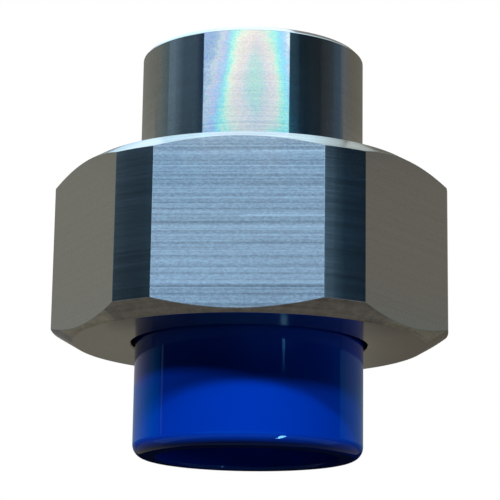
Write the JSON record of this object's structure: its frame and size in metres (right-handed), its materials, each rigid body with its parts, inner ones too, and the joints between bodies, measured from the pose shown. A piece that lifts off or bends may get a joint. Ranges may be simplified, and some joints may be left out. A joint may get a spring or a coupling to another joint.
{
  "type": "threaded union",
  "caption": "Pipe union: a blue plastic socket tail and a stainless threaded end, sealed by an O-ring and pulled together by a hex union nut with turned corners.",
  "frame": {"origin": "centre of the socket tail's end face, which is the lowest face", "axes": "+Z along the pipe axis from the plastic socket tail up to the steel threaded end, -Y towards the middle of one of the nut's flats, +X towards one of the nut's turned corners"},
  "size_m": [0.071, 0.065, 0.0737],
  "materials": {
    "blue_plastic": "glossy moulded plastic",
    "nut_steel": "brushed flats, turned corners and faces",
    "turned_steel": "fine turned",
    "seal_rubber": "matt"
  },
  "bodies": {
    "tail": {"socket_tail": "blue_plastic"},
    "nut": {"union_nut": "nut_steel"},
    "end": {"threaded_end": "turned_steel", "o_ring": "seal_rubber"}
  },
  "joints": [
    {"name": "nut_turn", "type": "hinge", "parent": "tail", "child": "nut", "pos_m": [0, 0, 0.03585], "axis": [0, 0, -1], "range_deg": [0, 2520]},
    {"name": "end_lift", "type": "slide", "parent": "tail", "child": "end", "axis": [0, 0, 1], "range_m": [0, 0.0162]}
  ],
  "couplings": [
    {"joint": "end_lift", "follows": "nut_turn", "m_per_rad": 0.00036749}
  ]
}
